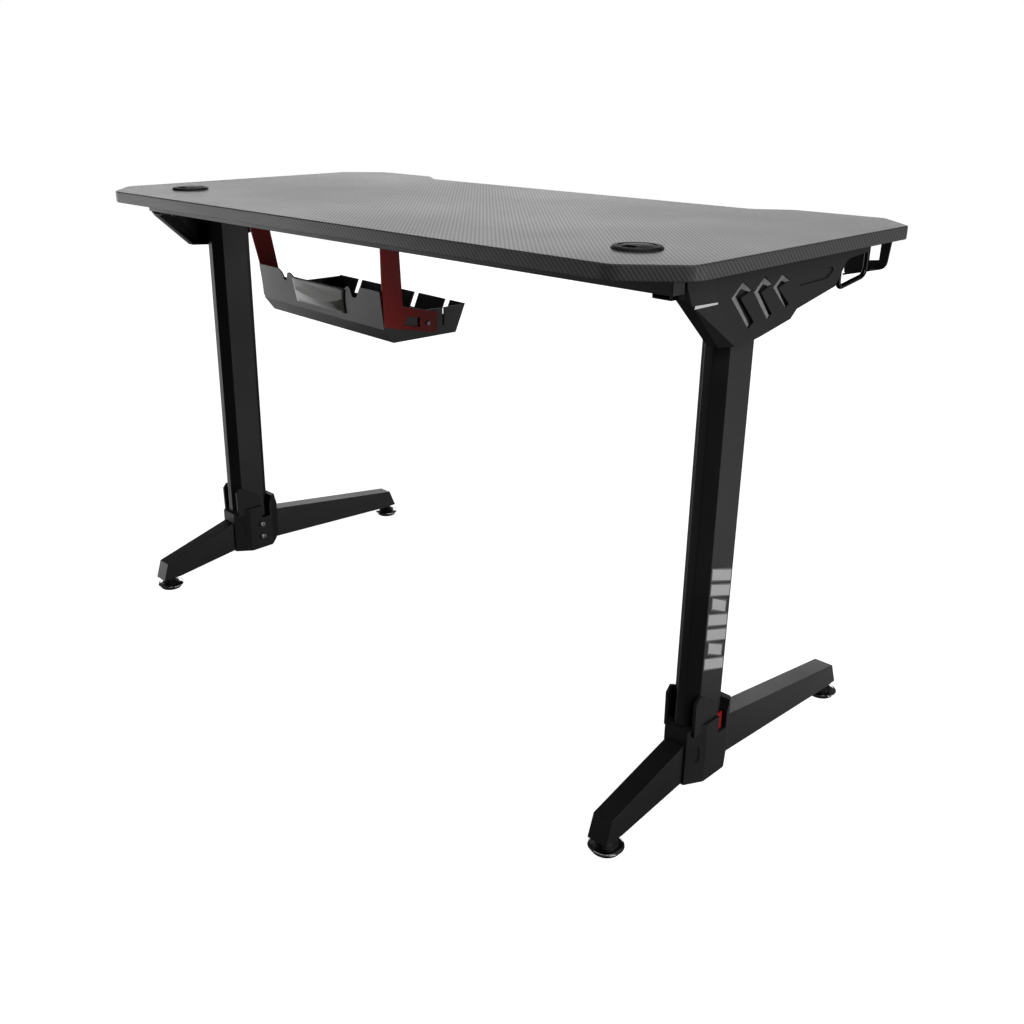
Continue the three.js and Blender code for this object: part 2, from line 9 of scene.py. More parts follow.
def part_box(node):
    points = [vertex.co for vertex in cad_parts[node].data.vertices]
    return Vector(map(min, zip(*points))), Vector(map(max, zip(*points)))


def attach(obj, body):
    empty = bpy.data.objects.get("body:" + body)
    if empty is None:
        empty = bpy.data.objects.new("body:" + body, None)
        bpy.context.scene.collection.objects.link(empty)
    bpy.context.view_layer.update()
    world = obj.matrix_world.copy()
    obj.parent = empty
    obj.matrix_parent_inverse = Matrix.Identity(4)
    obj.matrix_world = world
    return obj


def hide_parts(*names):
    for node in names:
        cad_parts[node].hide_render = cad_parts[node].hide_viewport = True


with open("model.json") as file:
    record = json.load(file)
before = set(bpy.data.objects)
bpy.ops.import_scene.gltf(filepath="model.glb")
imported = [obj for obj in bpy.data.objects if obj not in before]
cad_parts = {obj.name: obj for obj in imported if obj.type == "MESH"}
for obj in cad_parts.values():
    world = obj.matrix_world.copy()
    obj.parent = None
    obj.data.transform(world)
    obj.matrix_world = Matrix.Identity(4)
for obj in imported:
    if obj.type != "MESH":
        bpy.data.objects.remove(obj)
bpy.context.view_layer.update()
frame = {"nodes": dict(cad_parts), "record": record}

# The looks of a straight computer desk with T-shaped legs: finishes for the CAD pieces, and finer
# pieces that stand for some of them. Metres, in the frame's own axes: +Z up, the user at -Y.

NODES = frame["nodes"]
SIDES = {"left": -1, "right": 1}
ENDS = ("back", "front")
MM = 0.001
DESK_SHIFT = 4 * MM  # the desk's own middle lies this far behind the footprint's

# ---- camera, floor and light ---------------------------------------------------------------

CAMERA = {
    "place": (-1.242628, 1.200002, 0.927772), "heading": 0.792, "dip": 0.356, "roll": 0.004,
    "lens": 38.318, "sensor": 36.0, "shift": (0.03689, -0.02609),
}


def make_camera():
    heading, dip, roll = CAMERA["heading"], CAMERA["dip"], CAMERA["roll"]
    forward = Vector((
        math.cos(dip) * math.sin(heading), -math.cos(dip) * math.cos(heading), -math.sin(dip),
    ))
    right = forward.cross(Vector((0, 0, 1))).normalized()
    up = right.cross(forward)
    tilted_right = math.cos(roll) * right + math.sin(roll) * up
    tilted_up = math.cos(roll) * up - math.sin(roll) * right
    turn = Matrix((tilted_right, tilted_up, -forward)).transposed()
    data = bpy.data.cameras.new("camera")
    data.lens = CAMERA["lens"]
    data.sensor_width = CAMERA["sensor"]
    data.shift_x, data.shift_y = CAMERA["shift"]
    data.clip_end = 60
    camera = bpy.data.objects.new("camera", data)
    camera.matrix_world = Matrix.Translation(Vector(CAMERA["place"])) @ turn.to_4x4()
    bpy.context.scene.collection.objects.link(camera)
    bpy.context.scene.camera = camera


def soft_lamp(name, place, width, height, radiance):
    """A rectangular soft light that stays out of the picture."""
    data = bpy.data.lights.new(name, "AREA")
    data.shape = "RECTANGLE"
    data.size = width
    data.size_y = height
    data.energy = radiance * math.pi * width * height
    lamp = bpy.data.objects.new(name, data)
    lamp.location = place
    lamp.visible_camera = False
    bpy.context.scene.collection.objects.link(lamp)
    return lamp


def softbox(name, direction, distance, middle, width, height, radiance, drop=0.0):
    """A soft light that faces the desk's upright axis; drop leans it down towards the floor."""
    outward = Vector((*direction, 0)).normalized()
    place = outward * distance + Vector((0, 0, middle))
    lamp = soft_lamp(name, place, width, height, radiance)
    lamp.rotation_euler = (-outward - Vector((0, 0, drop))).to_track_quat("-Z", "Y").to_euler()


def make_world(level):
    """A white studio as the camera sees it, and a dim even fill as the object does."""
    world = bpy.data.worlds.new("studio")
    bpy.context.scene.world = world
    world.use_nodes = True
    tree = world.node_tree
    tree.nodes.clear()
    out = tree.nodes.new("ShaderNodeOutputWorld")
    mix = tree.nodes.new("ShaderNodeMixShader")
    path = tree.nodes.new("ShaderNodeLightPath")
    fill = tree.nodes.new("ShaderNodeBackground")
    white = tree.nodes.new("ShaderNodeBackground")
    fill.inputs["Color"].default_value = (level, level, level, 1)
    white.inputs["Color"].default_value = (1, 1, 1, 1)
    tree.links.new(path.outputs["Is Camera Ray"], mix.inputs[0])
    tree.links.new(fill.outputs[0], mix.inputs[1])
    tree.links.new(white.outputs[0], mix.inputs[2])
    tree.links.new(mix.outputs[0], out.inputs["Surface"])


FLOOR_REACH = 14
FLOOR_GLOW = 0.985
FILL_LEVEL = 0.035  # the even light that the object gets from the studio


def make_stage():
    """A wide pale floor, see-through from below so that the underside can be looked at."""
    mesh = bpy.data.meshes.new("floor")
    reach = FLOOR_REACH
    mesh.from_pydata(
        [(-reach, -reach, 0), (reach, -reach, 0), (reach, reach, 0), (-reach, reach, 0)],
        [], [(0, 1, 2, 3)],
    )
    floor = bpy.data.objects.new("floor", mesh)
    bpy.context.scene.collection.objects.link(floor)
    material = bpy.data.materials.new("floor")
    material.use_nodes = True
    tree = material.node_tree
    tree.nodes.clear()
    out = tree.nodes.new("ShaderNodeOutputMaterial")
    mix = tree.nodes.new("ShaderNodeMixShader")
    lit = tree.nodes.new("ShaderNodeAddShader")
    matt = tree.nodes.new("ShaderNodeBsdfDiffuse")
    glow = tree.nodes.new("ShaderNodeEmission")
    clear = tree.nodes.new("ShaderNodeBsdfTransparent")
    side = tree.nodes.new("ShaderNodeNewGeometry")
    matt.inputs["Color"].default_value = (0.6, 0.6, 0.6, 1)
    glow.inputs["Color"].default_value = (FLOOR_GLOW, FLOOR_GLOW, FLOOR_GLOW, 1)
    tree.links.new(matt.outputs[0], lit.inputs[0])
    tree.links.new(glow.outputs[0], lit.inputs[1])
    tree.links.new(side.outputs["Backfacing"], mix.inputs[0])
    tree.links.new(lit.outputs[0], mix.inputs[1])
    tree.links.new(clear.outputs[0], mix.inputs[2])
    tree.links.new(mix.outputs[0], out.inputs["Surface"])
    floor.data.materials.append(material)
    floor.visible_glossy = False
    floor.visible_diffuse = False
    floor.visible_shadow = False


# Upright panels round the desk. They reach below the floor line, because every upright face mirrors
# what lies below the horizon: (name, direction, distance, middle height, width, height, radiance).
PANELS = (
    ("end_near", (-0.99, -0.12), 4.0, -0.3, 0.5, 2.6, 2.4),
    ("side_near", (-0.84, -0.545), 4.2, -0.55, 1.9, 2.3, 0.78),
    ("front_near_high", (-0.45, -0.89), 4.2, -0.15, 2.6, 1.5, 0.22),
    ("front_near_low", (-0.45, -0.89), 4.2, -1.6, 2.6, 1.4, 0.38),
    ("end_far_high", (0.955, 0.3), 4.6, 0.05, 4.7, 1.8, 1.85),
    ("end_far_low", (0.955, 0.3), 4.6, -1.9, 4.7, 2.2, 0.8),
    ("front_far", (0.68, -0.73), 5.0, 1.35, 6.5, 1.5, 1.5),
)


def make_light():
    make_world(FILL_LEVEL)
    for panel in PANELS:
        softbox(*panel)
    soft_lamp("above", (0.2, -0.2, 3.2), 2.6, 1.8, 0.7)
    softbox("key_left", (-1.0, 0.2), 3.3, 2.7, 2.6, 1.8, 3.2, drop=0.7)
    bpy.context.scene.view_settings.view_transform = "Standard"


# ---- materials -----------------------------------------------------------------------------


class Finish:
    """A material made of nodes, with short names for the ones that are used most."""

    def __init__(self, name, **constants):
        self.material = bpy.data.materials.new(name)
        self.material.use_nodes = True
        self.tree = self.material.node_tree
        self.tree.nodes.clear()
        out = self.add("ShaderNodeOutputMaterial")
        self.shader = self.add("ShaderNodeBsdfPrincipled")
        self.tree.links.new(self.shader.outputs[0], out.inputs["Surface"])
        self.place = self.add("ShaderNodeTexCoord").outputs["Object"]
        for socket, value in constants.items():
            self.shader.inputs[socket.replace("_", " ")].default_value = value

    def add(self, kind, **settings):
        node = self.tree.nodes.new(kind)
        for key, value in settings.items():
            setattr(node, key, value)
        return node

    def feed(self, socket, value):
        if isinstance(value, bpy.types.NodeSocket):
            self.tree.links.new(value, socket)
        else:
            socket.default_value = value

    def math(self, operation, *values, clamp=False):
        node = self.add("ShaderNodeMath", operation=operation, use_clamp=clamp)
        for socket, value in zip(node.inputs, values):
            self.feed(socket, value)
        return node.outputs[0]

    def stretched(self, scale):
        node = self.add("ShaderNodeMapping")
        self.feed(node.inputs["Vector"], self.place)
        node.inputs["Scale"].default_value = scale
        return node.outputs[0]

    def noise(self, scale, detail=3.0, roughness=0.5, at=None):
        node = self.add("ShaderNodeTexNoise")
        self.feed(node.inputs["Vector"], at or self.place)
        node.inputs["Scale"].default_value = scale
        node.inputs["Detail"].default_value = detail
        node.inputs["Roughness"].default_value = roughness
        return node.outputs["Fac"]

    def cells(self, scale, feature="F1", at=None):
        node = self.add("ShaderNodeTexVoronoi", feature=feature)
        self.feed(node.inputs["Vector"], at or self.place)
        node.inputs["Scale"].default_value = scale
        return node.outputs["Distance"]

    def spread(self, value, low, high, from_low=0.3, from_high=0.7):
        node = self.add("ShaderNodeMapRange")
        for socket, number in zip(node.inputs[:5], (value, from_low, from_high, low, high)):
            self.feed(socket, number)
        return node.outputs[0]

    def blend(self, share, first, second):
        node = self.add("ShaderNodeMix", data_type="RGBA")
        self.feed(node.inputs[0], share)
        self.feed(node.inputs[6], first)
        self.feed(node.inputs[7], second)
        return node.outputs[2]

    def axes(self):
        node = self.add("ShaderNodeSeparateXYZ")
        self.feed(node.inputs[0], self.place)
        return node.outputs

    def relief(self, height, distance, strength=1.0, under=None):
        node = self.add("ShaderNodeBump")
        node.inputs["Strength"].default_value = strength
        node.inputs["Distance"].default_value = distance
        self.feed(node.inputs["Height"], height)
        if under is not None:
            self.feed(node.inputs["Normal"], under)
        return node.outputs[0]

    def rounded(self, radius):
        """A normal that rounds the sharp edges, for relief to build on."""
        bevel = self.add("ShaderNodeBevel", samples=4)
        bevel.inputs["Radius"].default_value = radius
        return bevel.outputs[0]

    def finish(self, **sockets):
        for socket, value in sockets.items():
            self.feed(self.shader.inputs[socket.replace("_", " ")], value)
        return self.material


def grey(level, tint=(1, 1, 1)):
    return (level * tint[0], level * tint[1], level * tint[2], 1)


TOW = 1.77 * MM  # width of one tow of the printed twill; its ribs are then 5 mm apart


def carbon_laminate():
    """Wrapped film with a 2/2 twill: two tows over, two under, stepping by one each row."""
    f = Finish("carbon_laminate", Specular_IOR_Level=0.5, Coat_Weight=0.25, Coat_Roughness=0.16)
    x, y, z = f.axes()
    across = f.math("DIVIDE", f.math("ADD", x, z), TOW)
    along = f.math("DIVIDE", f.math("SUBTRACT", y, f.math("MULTIPLY", z, 2.0)), TOW)
    step = f.math("ADD", f.math("FLOOR", across), f.math("FLOOR", along))
    phase = f.math("FLOORED_MODULO", step, 4.0)
    over = f.math("LESS_THAN", phase, 1.5)
    crown_x = f.math("SINE", f.math("MULTIPLY", f.math("FRACT", across), math.pi))
    crown_y = f.math("SINE", f.math("MULTIPLY", f.math("FRACT", along), math.pi))
    crown = f.math("ADD", f.math("MULTIPLY", over, crown_x),
                   f.math("MULTIPLY", f.math("SUBTRACT", 1.0, over), crown_y))
    fibre = f.noise(1.0, 2.0, at=f.stretched((4200, 500, 4200)))
    cross_fibre = f.noise(1.0, 2.0, at=f.stretched((500, 4200, 4200)))
    thread = f.math("ADD", f.math("MULTIPLY", over, fibre),
                    f.math("MULTIPLY", f.math("SUBTRACT", 1.0, over), cross_fibre))
    tone = f.math("ADD", f.math("MULTIPLY", over, 0.62), f.math("MULTIPLY", thread, 0.24))
    tone = f.math("ADD", tone, f.math("MULTIPLY", crown, 0.2), clamp=True)
    colour = f.blend(tone, grey(0.042, (1, 1, 1.02)), grey(0.14, (1, 1, 1.02)))
    haze = f.spread(f.noise(3.5, 4.0), -0.05, 0.07)
    roughness = f.math("ADD", f.spread(tone, 0.5, 0.38, 0.0, 1.0), haze)
    return f.finish(Base_Color=colour, Roughness=roughness, Normal=f.relief(crown, 0.00009, 0.55))


def powder_coat():
    """Black powder coat: fine orange peel, with duller patches and edges rounded by the shading normal."""
    f = Finish("black_steel", Metallic=0.0, Specular_IOR_Level=0.5, Coat_Weight=0.12, Coat_Roughness=0.22)
    peel = f.noise(950, 3.0)
    grain = f.noise(5200, 2.0)
    patches = f.noise(7.0, 4.0)
    height = f.math("ADD", peel, f.math("MULTIPLY", grain, 0.35))
    colour = f.blend(f.spread(patches, 0.0, 1.0), grey(0.0085), grey(0.014, (1, 1, 1.05)))
    roughness = f.math("ADD", f.spread(patches, 0.34, 0.46), f.spread(grain, -0.03, 0.03))
    bumps = f.relief(height, 0.00006, 0.5, under=f.rounded(0.7 * MM))
    return f.finish(Base_Color=colour, Roughness=roughness, Normal=bumps)


def moulded_plastic():
    """Black moulded plastic with a spark-eroded grain."""
    f = Finish("black_plastic", Specular_IOR_Level=0.45)
    grain = f.cells(2600, "SMOOTH_F1")
    fine = f.noise(6500, 2.0)
    flow = f.noise(11, 3.0, at=f.stretched((1, 0.35, 1)))
    colour = f.blend(f.spread(flow, 0.0, 1.0), grey(0.012), grey(0.019, (1, 1, 1.06)))
    roughness = f.math("ADD", f.spread(flow, 0.42, 0.52), f.spread(fine, -0.04, 0.04))
    height = f.math("ADD", grain, f.math("MULTIPLY", fine, 0.3))
    bumps = f.relief(height, 0.00005, 0.5, under=f.rounded(0.8 * MM))
    return f.finish(Base_Color=colour, Roughness=roughness, Normal=bumps)


def knurled_plastic():
    """Grey moulded plastic on the claws' knurled strips."""
    f = Finish("mesh_plastic", Specular_IOR_Level=0.5)
    dust = f.noise(300, 3.0)
    fine = f.noise(4200, 2.0)
    colour = f.blend(f.spread(dust, 0.0, 1.0), grey(0.3), grey(0.5))
    roughness = f.spread(fine, 0.34, 0.48)
    return f.finish(Base_Color=colour, Roughness=roughness, Normal=f.relief(fine, 0.00004, 0.4))


def red_paint():
    """Red powder coat on bent steel strip."""
    f = Finish("red_paint", Specular_IOR_Level=0.2)
    peel = f.noise(900, 3.0)
    grain = f.noise(5200, 2.0)
    patches = f.noise(16, 4.0)
    colour = f.blend(f.spread(patches, 0.0, 1.0), (0.42, 0.012, 0.011, 1), (0.54, 0.016, 0.014, 1))
    roughness = f.math("ADD", f.spread(patches, 0.36, 0.46), f.spread(grain, -0.03, 0.03))
    return f.finish(Base_Color=colour, Roughness=roughness, Normal=f.relief(peel, 0.00006, 0.5))


def bright_metal(name, low, high, rough_low, rough_high, lines):
    """Plated or foiled metal: turning lines or brushing that stretch along one axis, with smudges."""
    f = Finish(name, Metallic=1.0)
    smudge = f.noise(45, 4.0)
    brushed = f.noise(1.0, 3.0, at=f.stretched(lines))
    colour = f.blend(f.spread(smudge, 0.0, 1.0), grey(low, (1, 1, 1.01)), grey(high, (1, 1, 1.01)))
    roughness = f.math("ADD", f.spread(smudge, rough_low, rough_high), f.spread(brushed, -0.03, 0.03))
    return f.finish(Base_Color=colour, Roughness=roughness, Normal=f.relief(brushed, 0.00002, 0.3))


SMOKE_TINT = (1, 0.96, 0.8)


def smoked_plastic(name, level):
    """Brownish smoked plastic; level scales how pale it is."""
    f = Finish(name, Specular_IOR_Level=0.5, Coat_Weight=0.3, Coat_Roughness=0.08)
    cloud = f.noise(24, 3.0)
    fine = f.noise(3800, 2.0)
    dark, pale = (grey(base * level, SMOKE_TINT) for base in (0.045, 0.07))
    colour = f.blend(f.spread(cloud, 0.0, 1.0), dark, pale)
    roughness = f.math("ADD", f.spread(cloud, 0.24, 0.36), f.spread(fine, -0.02, 0.02))
    return f.finish(Base_Color=colour, Roughness=roughness, Normal=f.relief(fine, 0.00003, 0.3))


def printed_ink(name, low, high):
    """Matt ink, between two grey levels."""
    f = Finish(name, Specular_IOR_Level=0.4)
    mottle = f.noise(420, 3.0)
    fine = f.noise(3600, 2.0)
    colour = f.blend(f.spread(mottle, 0.0, 1.0), grey(low), grey(high))
    roughness = f.spread(fine, 0.4, 0.52)
    return f.finish(Base_Color=colour, Roughness=roughness, Normal=f.relief(fine, 0.00002, 0.3))


def make_finishes():
    return {
        "carbon_laminate": carbon_laminate(),
        "black_steel": powder_coat(),
        "black_plastic": moulded_plastic(),
        "mesh_plastic": knurled_plastic(),
        "red_paint": red_paint(),
        "chrome": bright_metal("chrome", 0.62, 0.72, 0.05, 0.12, (900, 900, 30)),
        "black_chrome": bright_metal("black_chrome", 0.035, 0.06, 0.1, 0.2, (700, 40, 700)),
        "silver_foil": bright_metal("silver_foil", 0.6, 0.75, 0.16, 0.28, (60, 60, 4000)),
        "zinc_steel": bright_metal("zinc_steel", 0.36, 0.5, 0.26, 0.42, (500, 500, 60)),
        "smoked_plastic": smoked_plastic("smoked_plastic", 1.0),
        # A paler copy of the smoked plastic with the same gloss: it paints the reflection on the tray panel.
        "smoked_painted_reflection": smoked_plastic("smoked_painted_reflection", 1.35),
        "white_print": printed_ink("white_print", 0.8, 0.92),
        "grey_print": printed_ink("grey_print", 0.2, 0.26),
    }


# ---- softened CAD pieces ---------------------------------------------------------------------


WELD_REACH = 0.02 * MM


def soften(piece, width, segments=2, angle=28):
    """Joins split corners, merges flat neighbours and rounds what is sharp, all by modifiers."""
    piece.data.shade_smooth()
    weld = piece.modifiers.new("weld", "WELD")
    weld.merge_threshold = WELD_REACH
    flat = piece.modifiers.new("flat", "DECIMATE")
    flat.decimate_type = "DISSOLVE"
    flat.angle_limit = math.radians(0.6)
    bevel = piece.modifiers.new("edges", "BEVEL")
    bevel.width = width
    bevel.segments = segments
    bevel.limit_method = "ANGLE"
    bevel.angle_limit = math.radians(angle)
    bevel.use_clamp_overlap = True
    bevel.miter_outer = "MITER_ARC"
    bevel.harden_normals = True
    normals = piece.modifiers.new("normals", "WEIGHTED_NORMAL")
    normals.keep_sharp = True


def crease(piece, angle):
    """Keeps flat faces flat and curved ones smooth; the finish rounds the edges between them."""
    piece.data.shade_smooth()
    weld = piece.modifiers.new("weld", "WELD")
    weld.merge_threshold = WELD_REACH
    split = piece.modifiers.new("split", "EDGE_SPLIT")
    split.split_angle = math.radians(angle)


# The angle above which an edge stays sharp, by the start of the piece's name.
CREASES = {"side_cover": 8, "hub_left": 8, "hub_right": 8, "headset_hook": 50, "grommet": 20, "leveller": 20}
# The rounding in millimetres of the plain bars, tubes and boards, by the start of the piece's name.
EDGE_WIDTHS = {
    "desktop": 1.6, "column": 1.6, "foot": 2.0, "arm_left": 1.4, "arm_right": 1.4, "back_rail": 1.4,
    "front_rail": 1.4, "tray_bracket": 0.6,
}
CREASE = 12  # for every other piece


def by_start(table, name):
    """The value of the table's first key that the name starts with, or None."""
    return next((value for start, value in table.items() if name.startswith(start)), None)


def shape_edges(piece, name):
    width = by_start(EDGE_WIDTHS, name)
    if width is not None:
        soften(piece, width * MM)
    else:
        crease(piece, by_start(CREASES, name) or CREASE)


# ---- finer pieces --------------------------------------------------------------------------------


def add_piece(name, points, faces, body, slot, node=None, look=None, smooth=30):
    """A closed mesh of its own that rides on a body and may stand for a CAD node."""
    mesh = bpy.data.meshes.new(name)
    mesh.from_pydata([tuple(p) for p in points], [], faces)
    shape = bmesh.new()
    shape.from_mesh(mesh)
    bmesh.ops.remove_doubles(shape, verts=shape.verts, dist=1e-6)
    bmesh.ops.recalc_face_normals(shape, faces=shape.faces)
    shape.to_mesh(mesh)
    shape.free()
    mesh.shade_smooth()
    mesh.set_sharp_from_angle(angle=math.radians(smooth))
    piece = bpy.data.objects.new(name, mesh)
    piece.data.materials.append(finishes[look or slot])
    bpy.context.scene.collection.objects.link(piece)
    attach(piece, body)
    if node:
        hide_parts(node)
    return piece


def middle_of(node):
    low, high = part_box(node)
    return (Vector(low) + Vector(high)) / 2


def revolved(profile, steps):
    """Rings of points round the Z axis from [radius, height] pairs that start and end at radius 0."""
    points = []
    rings = []
    for radius, height in profile:
        if radius == 0:
            rings.append([len(points)] * steps)
            points.append(Vector((0, 0, height)))
            continue
        rings.append([len(points) + i for i in range(steps)])
        for i in range(steps):
            angle = math.tau * i / steps
            points.append(Vector((radius * math.cos(angle), radius * math.sin(angle), height)))
    faces = []
    for lower, upper in zip(rings, rings[1:]):
        for i in range(steps):
            j = (i + 1) % steps
            corners = [lower[i], lower[j], upper[j], upper[i]]
            faces.append([c for k, c in enumerate(corners) if c not in corners[:k]])
    return points, faces


def socket_head(radius, height, socket, depth, steps=48):
    """A domed head with a hexagon socket. Heights are from the seat, towards the head's outside."""
    def hexagon(angle):
        return math.cos(math.pi / 6) / math.cos((angle % (math.pi / 3)) - math.pi / 6)

    rings = [
        (radius, 0.0, False), (radius, height * 0.35, False), (radius * 0.94, height * 0.68, False),
        (radius * 0.78, height * 0.93, False), (radius * 0.62, height, False),
        (socket * 1.1, height, True), (socket, height * 0.96, True), (socket * 0.97, height - depth, True),
    ]
    points = [Vector((0, 0, 0))]
    for ring_radius, level, six_sided in rings:
        for i in range(steps):
            angle = math.tau * i / steps
            reach = ring_radius * (hexagon(angle) if six_sided else 1.0)
            points.append(Vector((reach * math.cos(angle), reach * math.sin(angle), level)))
    points.append(Vector((0, 0, height - depth - radius * 0.08)))
    faces = [[0, 1 + (i + 1) % steps, 1 + i] for i in range(steps)]
    for ring in range(len(rings) - 1):
        base = 1 + ring * steps
        for i in range(steps):
            j = (i + 1) % steps
            faces.append([base + i, base + j, base + steps + j, base + steps + i])
    last = 1 + (len(rings) - 1) * steps
    faces += [[last + i, last + (i + 1) % steps, len(points) - 1] for i in range(steps)]
    return points, faces


def screw(node, axis, sizes):
    """A socket-head screw whose seat is at the node's low end along the axis it points out along."""
    points, faces = socket_head(*(size * MM for size in sizes))
    low, high = (Vector(corner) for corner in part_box(node))
    seat = (low + high) / 2
    direction = Vector(axis)
    along = [i for i in range(3) if axis[i]][0]
    seat[along] = low[along] if axis[along] > 0 else high[along]
    turn = direction.to_track_quat("Z", "Y").to_matrix()
    add_piece(f"{node}_head", [turn @ p + seat for p in points], faces, "desk_frame", "zinc_steel", node)


# Head radius, head height, socket radius and socket depth, in millimetres.
FRAME_BOLT = (6.5, 3.9, 2.9, 2.2)
TRAY_SCREW = (3.6, 2.4, 1.7, 1.4)


def make_screws():
    for label, side in SIDES.items():
        for end in ("front", "back"):
            screw(f"arm_bolt_{end}_{label}", (0, 0, -1), FRAME_BOLT)
        for level in ("upper", "lower"):
            screw(f"hub_bolt_{level}_{label}", (-side, 0, 0), FRAME_BOLT)
        screw(f"tray_screw_{label}", (side, 0, 0), TRAY_SCREW)


# Half sections of the levelling foot, as [radius, height] in millimetres.
DISC = 24
BASE = 19.5
RUBBER_SECTION = ((0, 0), (BASE - 0.8, 0), (BASE, 0.8), (BASE - 0.3, 5.6), (0, 5.6))
DISC_SECTION = (
    (0, 5.8), (DISC - 1.6, 5.8), (DISC - 0.4, 6.1), (DISC, 6.8), (DISC - 0.1, 7.6), (DISC - 0.9, 8.3),
    (DISC - 3.2, 8.8), (17, 9.3), (14, 9.6), (0, 9.6),
)
CONE_SECTION = (
    (0, 9.9), (15.2, 9.9), (16, 10.4), (15.9, 11.2), (14.6, 11.9), (12.6, 12.9), (10.6, 14.2),
    (9.0, 15.8), (8.0, 17.5), (7.6, 18.6), (7.0, 19.2), (4.4, 19.4),
)
THREAD = {"low": 19.8, "root": 3.4, "crest": 4.0, "tip": 3.1, "pitch": 1.25}


def in_metres(section):
    return [(radius * MM, height * MM) for radius, height in section]


def stem_section(top):
    """The cone, then a rolled thread up to the stem's top."""
    root, crest, tip, pitch = (THREAD[key] * MM for key in ("root", "crest", "tip", "pitch"))
    section = in_metres(CONE_SECTION)
    height = THREAD["low"] * MM
    while height < top - pitch:
        section += [(root, height), (crest, height + 0.55 * pitch)]
        height += pitch
    return section + [(root, height), (tip, top), (0, top)]


def make_levellers():
    """Each foot: a rubber base, a plated disc, and a stem with a cone and a rolled thread."""
    for label in SIDES:
        for end in ENDS:
            name = f"{end}_{label}"
            pad, stem = f"leveller_pad_{name}", f"leveller_stem_{name}"
            centre = middle_of(pad)
            centre.z = 0
            for part, section, steps, slot, node in (
                ("base", in_metres(RUBBER_SECTION), 96, "black_plastic", pad),
                ("disc", in_metres(DISC_SECTION), 96, "chrome", pad),
                ("cone", stem_section(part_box(stem)[1][2]), 64, "black_plastic", stem),
            ):
                points, faces = revolved(section, steps)
                placed = [point + centre for point in points]
                add_piece(f"leveller_{part}_{name}", placed, faces, f"leveller_{name}", slot, node)


# The knurled insert of one claw, as [y, z] in millimetres on the cover's outer face: along its outer
# edge, and along the inner edge that it slopes down to. The same claw repeats, smaller, forwards.
CLAW_OUTER = ((96, 704.6), (119.6, 716.2), (140.4, 700.4), (101, 660.8))
CLAW_INNER = ((98, 701.4), (119.0, 708.2), (128.5, 700.4), (95.4, 664.4))
CLAW_COPIES = ((0, 1.0), (-46.4, 0.955), (-86.2, 0.85))
CLAW_PIVOT = (118, 702)
# The dark plate behind the three claws.
CLAW_BACKING = ((9, 705), (33, 718), (121, 719), (145, 700), (102, 659), (15, 665))
KNURL = 1.7  # pitch of the knurl
KNURL_HEIGHT = 0.45
KNURL_BACK = 0.9  # thickness of the strip below the knurl
CLAW_DEPTH = 0.9  # how far the strip's outer edge lies below the cover's face
CLAW_SLOPE = 2.3  # and its inner edge
BACKING_DEPTHS = (4.0, 5.2)


def claw_insert(side, copy, face_x):
    """Rows of small pyramids on a strip that slopes inwards, closed by a flat back."""
    shift, size = CLAW_COPIES[copy]

    def on_claw(point, depth):
        y = CLAW_PIVOT[0] + shift + (point[0] - CLAW_PIVOT[0]) * size
        z = CLAW_PIVOT[1] + (point[1] - CLAW_PIVOT[1]) * size
        return Vector((face_x - side * depth * MM, y * MM + DESK_SHIFT, z * MM))

    outer = [on_claw(p, CLAW_DEPTH) for p in CLAW_OUTER]
    inner = [on_claw(p, CLAW_SLOPE) for p in CLAW_INNER]
    points, faces = [], []
    inwards = Vector((-side, 0, 0))
    for i in range(len(outer) - 1):
        corners = (outer[i], outer[i + 1], inner[i + 1], inner[i])
        normal = (corners[1] - corners[0]).cross(corners[3] - corners[0]).normalized()
        if normal.dot(inwards) > 0:
            normal = -normal
        long_way = max(2, round((corners[1] - corners[0]).length / (KNURL * MM)))
        wide_way = max(2, round((corners[2] - corners[1]).length / (KNURL * MM)))

        def at(s, t):
            first = corners[0].lerp(corners[1], s)
            return first.lerp(corners[3].lerp(corners[2], s), t)

        start = len(points)
        rows = wide_way + 1
        for a in range(long_way + 1):
            points.extend(at(a / long_way, b / wide_way) for b in range(rows))
        for a in range(long_way):
            for b in range(wide_way):
                peak = at((a + 0.5) / long_way, (b + 0.5) / wide_way) + normal * KNURL_HEIGHT * MM
                ring = [start + (a + da) * rows + b + db for da, db in ((0, 0), (1, 0), (1, 1), (0, 1))]
                points.append(peak)
                faces += [[ring[k], ring[(k + 1) % 4], len(points) - 1] for k in range(4)]
        count = len(points)
        rim = [start + a * rows for a in range(long_way + 1)]
        rim += [start + long_way * rows + b for b in range(1, rows)]
        rim += [start + a * rows + rows - 1 for a in range(long_way - 1, -1, -1)]
        rim += [start + b for b in range(rows - 2, 0, -1)]
        points.extend(points[k] + inwards * KNURL_BACK * MM for k in rim)
        total = len(rim)
        for k in range(total):
            following = (k + 1) % total
            faces.append([rim[k], rim[following], count + following, count + k])
        faces.append([count + k for k in range(total)])
    return points, faces


